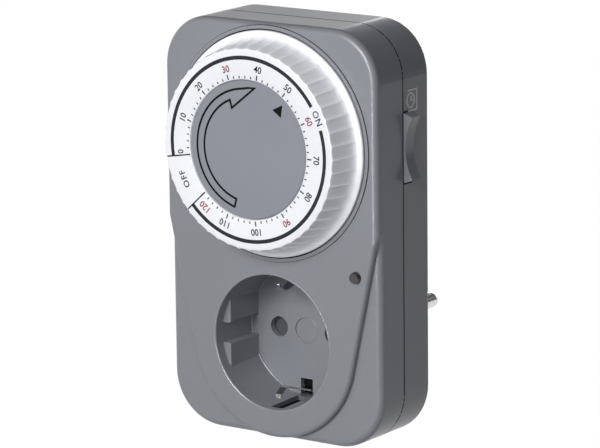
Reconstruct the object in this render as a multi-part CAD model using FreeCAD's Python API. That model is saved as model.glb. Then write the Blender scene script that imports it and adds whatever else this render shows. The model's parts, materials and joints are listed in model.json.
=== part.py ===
"""Plug-in mains timer switch: a flat housing with a two-pin earthed socket below and a 120 minute dial above.

Frame, in millimetres: +X is to the right seen from the front, +Y goes into the wall, +Z is up.
The origin is the centre of the plug's wall face, between the two pins. Depths are counted
from the raised front face towards the wall, and at() turns a depth into a Y value.
"""
import math
import os

import FreeCAD, Part

Vec = FreeCAD.Vector

# Housing
HOUSING_WIDTH = 73.0
TOP_MARGIN = 34.7             # top edge above the dial axis
HOUSING_BOTTOM = -28.3
HOUSING_DEPTH = 27.0          # raised front face to flat back
SPLIT = 13.6                  # parting line of the two shells, as a depth
WALL = 2.2
TOP_CORNER = 15.0
BOTTOM_CORNER = 15.5
FRONT_ROUND = 2.0
BACK_ROUND = 1.3

# Raised tongue of the front face
SHOULDER = 2.0                # step down beside the tongue
TONGUE_RADIUS = 28.0
TONGUE_TOP = 35.5             # height where the tongue reaches the side walls
TONGUE_ROUND = 1.2

# Plug on the back
PLUG_REACH = 24.5             # housing back to wall face
PLUG_RADIUS = 18.5
PLUG_WALL = 2.1
PLUG_END = 2.5
SKIRT_RADIUS = 22.0
SKIRT_LENGTH = 6.0
PIN_PITCH = 19.0
PIN_RADIUS = 2.4
PIN_LENGTH = 19.0
PIN_TIP_ROUND = 1.6
PIN_COLLAR = 2.9              # radius of the part held in the plug's end wall
PIN_HEAD = 3.8
PLUG_FLAT = 17.1              # socket axis to the flats on the plug's sides
PLUG_FLAT_HALF = 9.7
PLUG_RIB = 2.6                # half width of the rib between the flats

# Socket cup
CUP_RADIUS = 19.75
CUP_FLOOR_RADIUS = 19.4
CUP_DEPTH = 17.5
CUP_WALL = 1.8
CUP_FLOOR = 2.0
CUP_LIP = 0.4
FLOOR_EDGE = 0.35
GUIDE_HALF_HEIGHT = 10.4      # half height of the side guides
GUIDE_FLAT = 16.9             # socket axis to a guide's flat face
GUIDE_CHANNEL = 3.0           # half width of the channel between the guide blocks
GUIDE_START = 3.4
GUIDE_ROUND = 0.4
CONTACT_HOLE = 3.0
CENTRE_DISC = 3.85
CENTRE_SINK = 0.3
CLIP_WIDTH = 3.6
CLIP_TIP_WIDTH = 2.2
CLIP_METAL = 0.5
CLIP_ROOT = 17.5              # height of the earth clips from the axis where they leave the cup floor
CLIP_CREST = 14.2             # height of their crests, which press on a plug
CLIP_CREST_DEPTH = 6.2
CLIP_TIP = 16.8
CLIP_TIP_DEPTH = 2.5
CLIP_INNER = 14.6             # height where they pass the contact block

# Dial
DIAL_HEIGHT = 58.0            # dial axis above the socket axis
DIAL_RISE = 10.5              # dial face in front of the housing
DIAL_FACE = 29.1
DIAL_FOOT = 30.7
DIAL_WALL = 1.9
FLANGE_RADIUS = 32.6
FLANGE_RISE = 1.0
DISC_RADIUS = 19.85
DISC_GAP = 0.2
DISC_THICKNESS = 2.0
FLUTES = 48
FLUTE_DEPTH = 0.5
FLUTE_RIDGE = 0.55
RECESS_DEPTH = 1.5
RECESS_GAP = 0.4
BEZEL_WIDTH = 1.0
BEZEL_RISE = 0.3
ARBOR_RADIUS = 4.0
ARBOR_SHOULDER = 7.0
SPIGOT_RADIUS = 2.5
HUB_RADIUS = 7.6
RUNNING = 0.08                # radial clearance of shafts that turn
SEAT_GAP = 0.05               # radial clearance of pieces that don't move on each other

# Gear train
DIAL_TEETH = 60
PINION_TEETH = 12
IDLER_TEETH = 30
SECOND_TEETH = 36
DIAL_MODULE = 0.75
IDLER_MODULE = 0.6
MOTOR_MODULE = 0.5
IDLER_ANGLE = 222.0           # directions from one axle to the next, seen from the front
SECOND_ANGLE = 75.0
MOTOR_ANGLE = 80.0
AXLE_RADIUS = 1.0
GEAR_LEVEL = (5.0, 7.0)
CAM_LEVEL = (7.2, 8.6)
CLIP_LEVEL = (8.8, 9.4)
IDLER_LEVEL = (7.6, 9.4)
SECOND_LEVEL = (9.9, 11.3)
PLATE_LEVEL = (12.0, 13.2)
POST_RADIUS = 2.0
POST_OFFSETS = [(-27.5, -27.5), (20.0, -26.8), (22.0, 21.0), (-6.0, 28.0)]   # from the dial axis
PLATE_SIDE_GAP = 3.5          # gear plate's left edge to the housing's side
PLATE_RIGHT = [(23, -29), (25, 19), (24, 24), (-3.5, 31), (-9, 31)]          # from the dial axis
PLATE_LEFT = (12, -29)
CAM_RADIUS = 12.0
MOTOR_RADIUS = 15.0
MOTOR_LENGTH = 10.4
MOTOR_SHELL = 0.8

# Rocker in the right side wall
ROCKER_HEIGHT = 58.2
ROCKER_LENGTH = 20.0
ROCKER_WIDTH = 4.3
ROCKER_END = 2.9              # how far the ends stand out of the wall
ROCKER_MIDDLE = 0.6
ROCKER_GAP = 0.25
ROCKER_PIVOT = 4.6            # pivot behind the outer wall face
ROCKER_PIN = 1.0

# Shutter and contacts
SHUTTER_LEVEL = (19.8, 22.0)
SHUTTER_HALF_WIDTH = 14.0
SHUTTER_HALF_HEIGHT = 4.0
SHUTTER_TRAVEL = 6.8
SPRING_RADIUS = 1.35
SPRING_WIRE = 0.22
SLEEVE_BORE = 2.45
SLEEVE_METAL = 0.6
SLEEVE_LEVEL = (23.6, 37.0)
PIN_HEAD_LEVEL = (43.0, 45.0)
STRIP = 0.6
RISER_DROP = 31.0             # dial axis down to where the live strips turn towards the switch
RISER_DEPTH = 10.6
BLOCK_FOOT = 3.4              # switch block below its fixed leaf
LEAF_LEVEL = (8.8, 11.2)
LEAF = 0.4
CAM_GAP = 0.2
FOLLOWER = 0.9                # nose of the moving leaf, up to the cam's gap
LEAF_SPACE = 3.5

# Screws and indicator
UPPER_SCREW = 8.5             # from the side and the top
LOWER_SCREW = 10.0            # from the side and the bottom
SCREW_RADIUS = 1.2
SCREW_HEAD = 2.6
SCREW_HEAD_HEIGHT = 1.8
BOSS_RADIUS = 3.2
LAMP_INSET = 7.2
LAMP_HEIGHT = 22.7
LAMP_RADIUS = 1.75
LAMP_RISE = 1.2

FRONT_Y = -(PLUG_REACH + HOUSING_DEPTH)
BACK = HOUSING_DEPTH
FACE = HOUSING_DEPTH + PLUG_REACH
EARTH_BAR = FACE - 13.9
PIN_X = PIN_PITCH / 2
HALF_WIDTH = HOUSING_WIDTH / 2
HOUSING_TOP = DIAL_HEIGHT + TOP_MARGIN
UPPER_SCREWS = [(side * (HALF_WIDTH - UPPER_SCREW), HOUSING_TOP - UPPER_SCREW) for side in (-1, 1)]
LOWER_SCREWS = [(side * (HALF_WIDTH - LOWER_SCREW), HOUSING_BOTTOM + LOWER_SCREW) for side in (-1, 1)]
SCREWS = UPPER_SCREWS + LOWER_SCREWS
LAMP = (HALF_WIDTH - LAMP_INSET, LAMP_HEIGHT)
POSTS = [(x, DIAL_HEIGHT + z) for x, z in POST_OFFSETS]
PLATE_OUTLINE = [(x, DIAL_HEIGHT + z) for x, z in PLATE_RIGHT]
PLATE_OUTLINE += [(PLATE_SIDE_GAP - HALF_WIDTH, DIAL_HEIGHT + z) for z in PLATE_LEFT]
RISER_HEIGHT = DIAL_HEIGHT - RISER_DROP
CAM_FOOT = DIAL_HEIGHT - CAM_RADIUS - CAM_GAP
MOVING_LEAF = CAM_FOOT - FOLLOWER
FIXED_LEAF = MOVING_LEAF - LEAF_SPACE
BLOCK_BOTTOM = FIXED_LEAF - BLOCK_FOOT
PARTS = {}


def at(depth):
    return FRONT_Y + depth


def rod(x, z, radius, start, end):
    return Part.makeCylinder(radius, end - start, Vec(x, at(start), z), Vec(0, 1, 0))


def tube(x, z, inner, outer, start, end):
    return rod(x, z, outer, start, end).cut(rod(x, z, inner, start - 1, end + 1))


def cone(x, z, first, second, start, end):
    return Part.makeCone(first, second, end - start, Vec(x, at(start), z), Vec(0, 1, 0))


def block(x0, x1, start, end, z0, z1):
    return Part.makeBox(x1 - x0, end - start, z1 - z0, Vec(x0, at(start), z0))


def prism(wire, start, end):
    """Carry a wire drawn in the XZ plane from one depth to another."""
    face = Part.Face(wire)
    face.translate(Vec(0, at(start), 0))
    return face.extrude(Vec(0, end - start, 0))


def polygon(points):
    corners = [Vec(x, 0, z) for x, z in points]
    return Part.makePolygon(corners + corners[:1])


def revolved(profile, x, z, degrees=360.0):
    """Turn a closed outline of (radius, depth) points about an axis along Y."""
    corners = [Vec(x + r, at(d), z) for r, d in profile]
    face = Part.Face(Part.makePolygon(corners + corners[:1]))
    return face.revolve(Vec(x, 0, z), Vec(0, 1, 0), degrees)


def edges_at(shape, depth, tolerance=1e-4):
    y = at(depth)
    flat = []
    for edge in shape.Edges:
        box = edge.BoundBox
        if abs(box.YMin - y) < tolerance and abs(box.YMax - y) < tolerance:
            flat.append(edge)
    return flat


def rounded(shape, radius, depth):
    return shape.makeFillet(radius, edges_at(shape, depth))


def fused(first, *others):
    return first.multiFuse(list(others)).removeSplitter()


def without(first, *tools):
    for tool in tools:
        first = first.cut(tool)
    return first


def mirrored(shape):
    return shape.mirror(Vec(0, 0, 0), Vec(1, 0, 0))


def save(name, shape):
    solids = shape.Solids
    kept = solids[0] if len(solids) == 1 else Part.makeCompound(solids)
    PARTS[name] = kept


def outline(inset=0.0):
    """The housing's outline: straight sides, larger arcs at the corners."""
    half = HOUSING_WIDTH / 2 - inset
    top, bottom = HOUSING_TOP - inset, HOUSING_BOTTOM + inset
    upper, lower = TOP_CORNER - inset, BOTTOM_CORNER - inset
    edges = []
    corners = [(half, top, upper, 0), (-half, top, upper, 90), (-half, bottom, lower, 180), (half, bottom, lower, 270)]
    arcs = []
    for x, z, radius, turn in corners:
        cx = x - math.copysign(radius, x)
        cz = z - radius if z > 0 else z + radius
        points = []
        for step in (0, 45, 90):
            angle = math.radians(turn + step)
            points.append(Vec(cx + radius * math.cos(angle), 0, cz + radius * math.sin(angle)))
        arcs.append(points)
    for number, points in enumerate(arcs):
        edges.append(Part.Arc(*points).toShape())
        edges.append(Part.LineSegment(points[2], arcs[(number + 1) % 4][0]).toShape())
    return Part.Wire(edges)


def tongue(inset=0.0):
    """The raised front's outline: a circle round the socket with tangents that widen to the side walls."""
    reach = math.hypot(HOUSING_WIDTH / 2, TONGUE_TOP)
    turn = math.atan2(TONGUE_TOP, HOUSING_WIDTH / 2) - math.acos(TONGUE_RADIUS / reach)
    radius = TONGUE_RADIUS - inset
    normal = (math.cos(turn), math.sin(turn))
    touch = (radius * normal[0], radius * normal[1])
    run = math.sqrt(reach ** 2 - TONGUE_RADIUS ** 2) + 6.0
    top = (touch[0] - run * normal[1], touch[1] + run * normal[0])
    far = HOUSING_WIDTH
    points = [touch, top, (far, top[1]), (far, HOUSING_TOP + far)]
    points += [(-x, z) for x, z in reversed(points)]
    corners = [Vec(x, 0, z) for x, z in points]
    edges = [Part.LineSegment(a, b).toShape() for a, b in zip(corners, corners[1:])]
    edges.append(Part.Arc(corners[-1], Vec(0, 0, -radius), corners[0]).toShape())
    return Part.Wire(edges)


def earth_slots(start, end, half_width, low, high):
    return [block(-half_width, half_width, start, end, low, high),
            block(-half_width, half_width, start, end, -high, -low)]


def front_housing():
    low = rounded(prism(outline(), SHOULDER, SPLIT), FRONT_ROUND, SHOULDER)
    high = rounded(prism(outline(), 0, SPLIT), FRONT_ROUND, 0)
    raised = high.common(rounded(prism(tongue(), 0, SPLIT), TONGUE_ROUND, 0))
    shell = fused(low, raised)
    shell = shell.cut(prism(outline(WALL), SHOULDER + WALL, SPLIT + 1))
    shell = shell.cut(prism(outline(WALL), WALL, SPLIT + 1).common(prism(tongue(WALL), WALL, SPLIT + 1)))
    shell = fused(shell,
                  rod(0, DIAL_HEIGHT, FLANGE_RADIUS + RECESS_GAP + BEZEL_WIDTH, -BEZEL_RISE, RECESS_DEPTH + WALL),
                  rod(*LAMP, LAMP_RADIUS + 1.5, SHOULDER, SHOULDER + WALL + 3.0),
                  *[rod(x, z, POST_RADIUS, SHOULDER + 0.1, PLATE_LEVEL[0]) for x, z in POSTS],
                  *[rod(x, z, BOSS_RADIUS, SHOULDER + 0.1, SPLIT) for x, z in SCREWS])
    tools = [cup_space(),
             rod(0, DIAL_HEIGHT, FLANGE_RADIUS + RECESS_GAP, -5, RECESS_DEPTH),
             rod(0, DIAL_HEIGHT, HUB_RADIUS + RECESS_GAP, -5, SPLIT),
             rod(*LAMP, LAMP_RADIUS + SEAT_GAP, -5, SPLIT)]
    tools += [rod(x, z, SCREW_RADIUS + SEAT_GAP, WALL + 1.5, SPLIT + 1) for x, z in SCREWS]
    tools += [rod(x, z, SCREW_RADIUS / 2 + SEAT_GAP, PLATE_LEVEL[0] - 6, PLATE_LEVEL[0] + 1) for x, z in POSTS]
    return without(shell, *tools)


def cup_space():
    """The room inside the socket: a soft lip at the front, a slight taper and a small chamfer at the floor."""
    lip = CUP_RADIUS + CUP_LIP
    return revolved([(0, -1), (lip + 0.3, -1), (lip, 0), (CUP_RADIUS + CUP_LIP * 0.3, CUP_LIP * 0.3),
                     (CUP_RADIUS, CUP_LIP), (CUP_FLOOR_RADIUS, CUP_DEPTH - FLOOR_EDGE),
                     (CUP_FLOOR_RADIUS - FLOOR_EDGE, CUP_DEPTH), (0, CUP_DEPTH)], 0, 0)


def socket_cup():
    """Cup seated behind the front wall: guides at its sides, contact holes, and windows for the earth clips."""
    back = CUP_DEPTH + CUP_FLOOR
    cup = rod(0, 0, CUP_RADIUS + CUP_WALL, WALL + 0.02, back).cut(cup_space())
    guide = cup_guide()
    below = guide.mirror(Vec(0, 0, 0), Vec(0, 0, 1))
    cup = fused(cup, guide, below, mirrored(guide), mirrored(below))
    holes = [rod(side * PIN_X, 0, CONTACT_HOLE, 0, back + 1) for side in (-1, 1)]
    slot = CLIP_WIDTH / 2 + 0.3
    holes += earth_slots(CUP_DEPTH - 1, back + 1, slot, CLIP_ROOT - 3.1, CUP_FLOOR_RADIUS - 0.1)
    holes += earth_slots(WALL, CUP_DEPTH - 1.5, slot, CLIP_ROOT, CUP_RADIUS + CUP_WALL + 1)
    holes.append(rod(0, 0, CENTRE_DISC, CUP_DEPTH - 1, CUP_DEPTH + CENTRE_SINK))
    return without(cup, *holes)


def cup_guide():
    """The upper left guide block: its flat face and its front and lower edges are softened."""
    guide = block(-CUP_RADIUS - 1, -GUIDE_FLAT, GUIDE_START, CUP_DEPTH + 0.5, GUIDE_CHANNEL, GUIDE_HALF_HEIGHT)
    soft = []
    for edge in guide.Edges:
        middle = edge.CenterOfMass
        inner = abs(middle.x + GUIDE_FLAT) < 1e-4
        if inner and (abs(middle.y - at(GUIDE_START)) < 1e-4 or abs(middle.z - GUIDE_CHANNEL) < 1e-4):
            soft.append(edge)
    return guide.makeFillet(GUIDE_ROUND, soft).common(rod(0, 0, CUP_RADIUS + 1, 0, CUP_DEPTH + 1))


def shutter_frame():
    """Frame on the back of the cup's floor: two rails that guide the shutter, and a bar that its spring stands on."""
    start, end = CUP_DEPTH + CUP_FLOOR + 0.02, SHUTTER_LEVEL[1]
    inner, outer = SHUTTER_HALF_WIDTH + ROCKER_GAP, SHUTTER_HALF_WIDTH + 1.6
    top = spring_bottom() - 0.02
    low = top - 1.0
    rail = block(inner, outer, start, end, low, SHUTTER_HALF_HEIGHT + 1)
    return fused(rail, mirrored(rail), block(-outer, outer, start, end, low, top))


def spring_bottom():
    return -SHUTTER_HALF_HEIGHT - SHUTTER_TRAVEL - 2.8


def rear_housing():
    shell = rounded(prism(outline(), SPLIT, BACK), BACK_ROUND, BACK)
    shell = shell.cut(prism(outline(WALL), SPLIT - 1, BACK - WALL))
    shell = fused(shell, *[rod(x, z, SCREW_HEAD + 1.4, SPLIT, BACK) for x, z in SCREWS])
    tools = [rod(0, 0, PLUG_RADIUS + SEAT_GAP, BACK - WALL - 1, BACK + 1)]
    tools += [rod(x, z, SCREW_RADIUS + 0.2, SPLIT - 1, BACK + 1) for x, z in SCREWS]
    tools += [rod(x, z, SCREW_HEAD + 0.25, BACK - SCREW_HEAD_HEIGHT - 0.6, BACK + 1) for x, z in SCREWS]
    half = ROCKER_LENGTH / 2 + ROCKER_GAP * 2
    tools.append(block(HALF_WIDTH - WALL - 1, HALF_WIDTH + 1, SPLIT - 1,
                       SPLIT + ROCKER_WIDTH + ROCKER_GAP * 2, ROCKER_HEIGHT - half, ROCKER_HEIGHT + half))
    shell = without(shell, *tools)
    pivot = HALF_WIDTH - ROCKER_PIVOT
    far = SPLIT + ROCKER_WIDTH + ROCKER_GAP * 2
    bracket = block(pivot - 2.2, HALF_WIDTH - WALL + 0.2, far, far + 1.6, ROCKER_HEIGHT - 14, ROCKER_HEIGHT + 14)
    foot = block(pivot - 2.2, pivot - 0.8, far, BACK - WALL + 0.2, ROCKER_HEIGHT - 14, ROCKER_HEIGHT - 10)
    bracket = bracket.cut(rod(pivot, ROCKER_HEIGHT, ROCKER_PIN + SEAT_GAP, far - 1, far + 3))
    return fused(shell, bracket, foot)


def plug_body():
    """Round plug seated on the back wall: a skirt, flats with a rib at its sides and windows for the earth contacts."""
    seat, soft = BACK + 0.02, PIN_TIP_ROUND / 2
    bore = PLUG_RADIUS - PLUG_WALL
    body = revolved([(bore, BACK - WALL), (PLUG_RADIUS, BACK - WALL), (PLUG_RADIUS, seat), (SKIRT_RADIUS, seat),
                     (PLUG_RADIUS, BACK + SKIRT_LENGTH), (PLUG_RADIUS, FACE - soft), (PLUG_RADIUS - soft, FACE),
                     (0, FACE), (0, FACE - PLUG_END), (bore, FACE - PLUG_END)], 0, 0)
    flank = block(PLUG_FLAT, PLUG_RADIUS + 1, BACK + SKIRT_LENGTH, FACE + 1, -PLUG_FLAT_HALF, PLUG_FLAT_HALF)
    flank = flank.cut(block(0, PLUG_RADIUS + 2, BACK, FACE + 2, -PLUG_RIB, PLUG_RIB))
    contact = CLIP_WIDTH / 2 + 0.8
    tools = [flank, mirrored(flank)]
    tools += [rod(side * PIN_X, 0, PIN_COLLAR + SEAT_GAP, FACE - PLUG_END - 1, FACE + 1) for side in (-1, 1)]
    tools += earth_slots(EARTH_BAR - 0.2, FACE + 1, contact, PLUG_RADIUS - 1.4, PLUG_RADIUS + 2)
    tools += earth_slots(EARTH_BAR - 0.2, EARTH_BAR + 0.8, contact - 0.5, PLUG_RADIUS - 4, PLUG_RADIUS)
    return without(body, *tools)


def plug_pins():
    pins = []
    for side in (-1, 1):
        tip = rounded(rod(side * PIN_X, 0, PIN_RADIUS, FACE, FACE + PIN_LENGTH), PIN_TIP_ROUND, FACE + PIN_LENGTH)
        shank = rod(side * PIN_X, 0, PIN_COLLAR, PIN_HEAD_LEVEL[1], FACE)
        head = rod(side * PIN_X, 0, PIN_HEAD, *PIN_HEAD_LEVEL)
        pins.append(fused(tip, shank, head))
    return pins


def dial_ring():
    """Hollow knob: face ring, tapered fluted wall, foot flange, inner well and a sleeve that runs on the arbor."""
    face, foot = -DIAL_RISE, RECESS_DEPTH - 0.3
    well = DISC_RADIUS + DISC_GAP
    inside = DIAL_FACE - DIAL_WALL
    sleeve = CLIP_LEVEL[1] + 0.2
    web = face + DISC_THICKNESS + 1.5
    profile = [(well, face + 0.25), (well + 0.25, face), (DIAL_FACE - 0.5, face), (DIAL_FACE, face + 0.5),
               (DIAL_FOOT, -FLANGE_RISE - 0.6), (DIAL_FOOT + 0.3, -FLANGE_RISE), (FLANGE_RADIUS - 0.3, -FLANGE_RISE),
               (FLANGE_RADIUS, -FLANGE_RISE + 0.3), (FLANGE_RADIUS, foot), (DIAL_FOOT - DIAL_WALL, foot),
               (inside, face + DIAL_WALL), (well + 1.6, face + DIAL_WALL), (well + 1.6, web + 2.0),
               (HUB_RADIUS, web + 2.0), (HUB_RADIUS, sleeve), (ARBOR_RADIUS + RUNNING, sleeve),
               (ARBOR_RADIUS + RUNNING, web), (well, web)]
    knob = revolved(profile, 0, DIAL_HEIGHT)
    return knob.cut(Part.makeCompound(flute_tools()))


def flute_tools():
    """One leaning prism for each shallow groove of the grip, with a flat bottom and slanted flanks."""
    step = 2 * math.pi / FLUTES
    half = (DIAL_FACE * step - FLUTE_RIDGE) / 2
    spread = half / 2
    start, end = -DIAL_RISE - 1, -FLANGE_RISE - 0.6
    lean = (DIAL_FOOT - DIAL_FACE) / (end + DIAL_RISE)
    tools = []
    for number in range(FLUTES):
        angle = (number + 0.5) * step
        out = Vec(math.cos(angle), 0, math.sin(angle))
        side = Vec(-math.sin(angle), 0, math.cos(angle))
        middle = Vec(0, at(start), DIAL_HEIGHT)
        low, high = DIAL_FACE - FLUTE_DEPTH - lean, DIAL_FACE + FLUTE_DEPTH
        corners = [middle + out * radius + side * shift for radius, shift in
                   ((low, -half + spread), (high, -half - spread), (high, half + spread), (low, half - spread))]
        face = Part.Face(Part.makePolygon(corners + corners[:1]))
        tools.append(face.extrude(Vec(0, end - start, 0) + out * lean * (end - start)))
    return tools


def gear_blank(x, z, teeth, module, level, phase):
    """Teeth with straight flanks, a little thinner than half a pitch for backlash; phase puts a tooth at that angle."""
    pitch = teeth * module / 2
    tip, root = pitch + 0.85 * module, pitch - 1.15 * module
    points = []
    for number in range(teeth):
        middle = math.radians(phase) + 2 * math.pi * number / teeth
        for radius, share in ((root, -0.335), (tip, -0.105), (tip, 0.105), (root, 0.335)):
            angle = middle + share * 2 * math.pi / teeth
            points.append((x + radius * math.cos(angle), z + radius * math.sin(angle)))
    return prism(polygon(points), *level)


def step_from(start, distance, angle):
    turn = math.radians(angle)
    return start[0] + distance * math.cos(turn), start[1] + distance * math.sin(turn)


def mesh_phase(angle, teeth, driver_phase, driver_teeth):
    """Phase of a wheel whose gap meets the driver's teeth along the line of centres, angle seen from the driver."""
    along = (angle - driver_phase) * driver_teeth / 360.0
    return angle + 180.0 + (along - round(along)) * 360.0 / teeth + 180.0 / teeth


DIAL_AXIS = (0.0, DIAL_HEIGHT)
IDLER_AXIS = step_from(DIAL_AXIS, DIAL_MODULE * (DIAL_TEETH + PINION_TEETH) / 2, IDLER_ANGLE)
SECOND_AXIS = step_from(IDLER_AXIS, IDLER_MODULE * (IDLER_TEETH + PINION_TEETH) / 2, SECOND_ANGLE)
MOTOR_AXIS = step_from(SECOND_AXIS, MOTOR_MODULE * (SECOND_TEETH + PINION_TEETH) / 2, MOTOR_ANGLE)


def gears():
    bore = HUB_RADIUS + SEAT_GAP
    dial_gear = gear_blank(*DIAL_AXIS, DIAL_TEETH, DIAL_MODULE, GEAR_LEVEL, 0).cut(rod(*DIAL_AXIS, bore, 0, SPLIT))
    for number in range(6):
        x, z = step_from(DIAL_AXIS, 15.0, 60 * number)
        dial_gear = dial_gear.cut(rod(x, z, 4.6, 0, SPLIT))
    idler_phase = mesh_phase(IDLER_ANGLE, PINION_TEETH, 0, DIAL_TEETH)
    pinion = gear_blank(*IDLER_AXIS, PINION_TEETH, DIAL_MODULE, (GEAR_LEVEL[0] - 0.2, IDLER_LEVEL[0]), idler_phase)
    wheel = gear_blank(*IDLER_AXIS, IDLER_TEETH, IDLER_MODULE, IDLER_LEVEL, 0)
    idler = fused(pinion, wheel).cut(rod(*IDLER_AXIS, AXLE_RADIUS + RUNNING, 0, SPLIT))
    second_phase = mesh_phase(SECOND_ANGLE, PINION_TEETH, 0, IDLER_TEETH)
    pinion = gear_blank(*SECOND_AXIS, PINION_TEETH, IDLER_MODULE, (IDLER_LEVEL[0] - 0.2, SECOND_LEVEL[0]), second_phase)
    wheel = gear_blank(*SECOND_AXIS, SECOND_TEETH, MOTOR_MODULE, SECOND_LEVEL, 0)
    second = fused(pinion, wheel).cut(rod(*SECOND_AXIS, AXLE_RADIUS + RUNNING, 0, SPLIT))
    motor_phase = mesh_phase(MOTOR_ANGLE, PINION_TEETH, 0, SECOND_TEETH)
    pinion = gear_blank(*MOTOR_AXIS, PINION_TEETH, MOTOR_MODULE, (SECOND_LEVEL[0] - 0.2, SECOND_LEVEL[1] + 0.1),
                        motor_phase)
    shaft = rod(*MOTOR_AXIS, AXLE_RADIUS, SECOND_LEVEL[1], PLATE_LEVEL[1] + MOTOR_LENGTH - 2)
    magnet = rod(*MOTOR_AXIS, 5.0, PLATE_LEVEL[1] + 1.6, PLATE_LEVEL[1] + MOTOR_LENGTH - 2)
    return dial_gear, idler, second, fused(pinion, shaft), magnet.cut(rod(*MOTOR_AXIS, AXLE_RADIUS + SEAT_GAP, 0, 40))


def movement():
    """Arbor, axles, gear plate and motor, which stay still while the dial and the wheels turn."""
    plate = prism(polygon(PLATE_OUTLINE), *PLATE_LEVEL)
    holes = [rod(*DIAL_AXIS, SPIGOT_RADIUS + SEAT_GAP, 0, BACK), rod(*MOTOR_AXIS, AXLE_RADIUS + 0.5, 0, BACK)]
    holes += [rod(*axis, AXLE_RADIUS + SEAT_GAP, 0, BACK) for axis in (IDLER_AXIS, SECOND_AXIS)]
    holes += [rod(x, z, SCREW_RADIUS / 2 + SEAT_GAP + 0.1, 0, BACK) for x, z in POSTS]
    save("gear_plate", without(plate, *holes))
    arbor = fused(rod(*DIAL_AXIS, SPIGOT_RADIUS, -DIAL_RISE + DISC_THICKNESS - 0.9, -DIAL_RISE + DISC_THICKNESS + 1),
                  rod(*DIAL_AXIS, ARBOR_RADIUS, -DIAL_RISE + DISC_THICKNESS + 0.02, PLATE_LEVEL[0]),
                  rod(*DIAL_AXIS, ARBOR_SHOULDER, CLIP_LEVEL[1] + 1.0, PLATE_LEVEL[0]),
                  rod(*DIAL_AXIS, SPIGOT_RADIUS, PLATE_LEVEL[0], PLATE_LEVEL[1] - SEAT_GAP))
    save("dial_arbor", arbor)
    first = RECESS_DEPTH + WALL + 0.1
    save("idler_axle", rod(*IDLER_AXIS, AXLE_RADIUS, first, PLATE_LEVEL[1]))
    save("second_axle", rod(*SECOND_AXIS, AXLE_RADIUS, IDLER_LEVEL[0] - 0.3, PLATE_LEVEL[1]))
    screws = []
    for x, z in POSTS:
        shank = rod(x, z, SCREW_RADIUS / 2, PLATE_LEVEL[0] - 5, PLATE_LEVEL[1] + 0.5)
        screws.append(fused(shank, rod(x, z, 1.6, PLATE_LEVEL[1], PLATE_LEVEL[1] + 1.0)))
    save("plate_screws", Part.makeCompound(screws))
    start, end = PLATE_LEVEL[1], PLATE_LEVEL[1] + MOTOR_LENGTH
    can = rod(*MOTOR_AXIS, MOTOR_RADIUS, start, end)
    can = can.cut(rod(*MOTOR_AXIS, MOTOR_RADIUS - MOTOR_SHELL, start + MOTOR_SHELL, end - MOTOR_SHELL))
    save("motor_can", can.cut(rod(*MOTOR_AXIS, AXLE_RADIUS + RUNNING, start - 1, start + 1)))
    save("motor_coil", tube(*MOTOR_AXIS, 6.2, MOTOR_RADIUS - MOTOR_SHELL - 0.05,
                            start + MOTOR_SHELL, end - MOTOR_SHELL - 0.3))


def dial_train():
    save("dial_ring", dial_ring())
    dial_gear, idler, second, motor_pinion, magnet = gears()
    save("dial_gear", dial_gear)
    save("idler_gear", idler)
    save("second_gear", second)
    save("motor_pinion", motor_pinion)
    save("motor_magnet", magnet)
    cam = rod(*DIAL_AXIS, CAM_RADIUS, *CAM_LEVEL).cut(rod(*DIAL_AXIS, HUB_RADIUS + SEAT_GAP, 0, 20))
    save("switch_cam", cam.cut(block(-1.2, 1.2, *CAM_LEVEL, DIAL_HEIGHT + CAM_RADIUS - 1.5, DIAL_HEIGHT + 20)))
    slit = block(-1.5, 1.5, 0, 20, DIAL_HEIGHT, DIAL_HEIGHT + 12)
    save("dial_circlip", tube(*DIAL_AXIS, HUB_RADIUS + SEAT_GAP, HUB_RADIUS + 1.6, *CLIP_LEVEL).cut(slit))
    front, back = -DIAL_RISE + 0.1, -DIAL_RISE + DISC_THICKNESS
    socket = SPIGOT_RADIUS + SEAT_GAP
    save("dial_centre_cap", revolved([(0, front), (DISC_RADIUS - 0.3, front), (DISC_RADIUS, front + 0.3),
                                      (DISC_RADIUS, back), (socket, back), (socket, back - 1.0),
                                      (0, back - 1.0)], *DIAL_AXIS))


def rocker():
    """Narrow rocker: a concave outer face, slanted ends and a barrel on the pivot pin."""
    wall = HALF_WIDTH
    half = ROCKER_LENGTH / 2
    end, middle = wall + ROCKER_END, wall + ROCKER_MIDDLE
    low, high = ROCKER_HEIGHT - half, ROCKER_HEIGHT + half
    pivot = wall - ROCKER_PIVOT
    inner = wall - 2.4
    sweep = Part.Arc(Vec(end, 0, high - 1.0), Vec(middle, 0, ROCKER_HEIGHT), Vec(end, 0, low + 1.0)).toShape()
    corners = [Vec(end, 0, low + 1.0), Vec(wall, 0, low), Vec(inner, 0, low + 0.6), Vec(inner, 0, high - 0.6),
               Vec(wall, 0, high), Vec(end, 0, high - 1.0)]
    edges = [sweep] + [Part.LineSegment(a, b).toShape() for a, b in zip(corners, corners[1:])]
    start, finish = SPLIT + ROCKER_GAP, SPLIT + ROCKER_GAP + ROCKER_WIDTH
    body = prism(Part.Wire(edges), start, finish)
    barrel = rod(pivot, ROCKER_HEIGHT, ROCKER_PIN + 1.4, start, finish)
    neck = block(pivot, inner + 0.5, start, finish, ROCKER_HEIGHT - 2.0, ROCKER_HEIGHT + 2.0)
    arm = block(pivot - 5.0, pivot, start, finish, ROCKER_HEIGHT - 0.8, ROCKER_HEIGHT + 0.8)
    lever = fused(body, barrel, neck, arm).cut(rod(pivot, ROCKER_HEIGHT, ROCKER_PIN + RUNNING, 0, 30))
    save("mode_rocker", lever)
    save("rocker_pivot", rod(pivot, ROCKER_HEIGHT, ROCKER_PIN, start, finish + ROCKER_GAP + 1.6))


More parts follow.
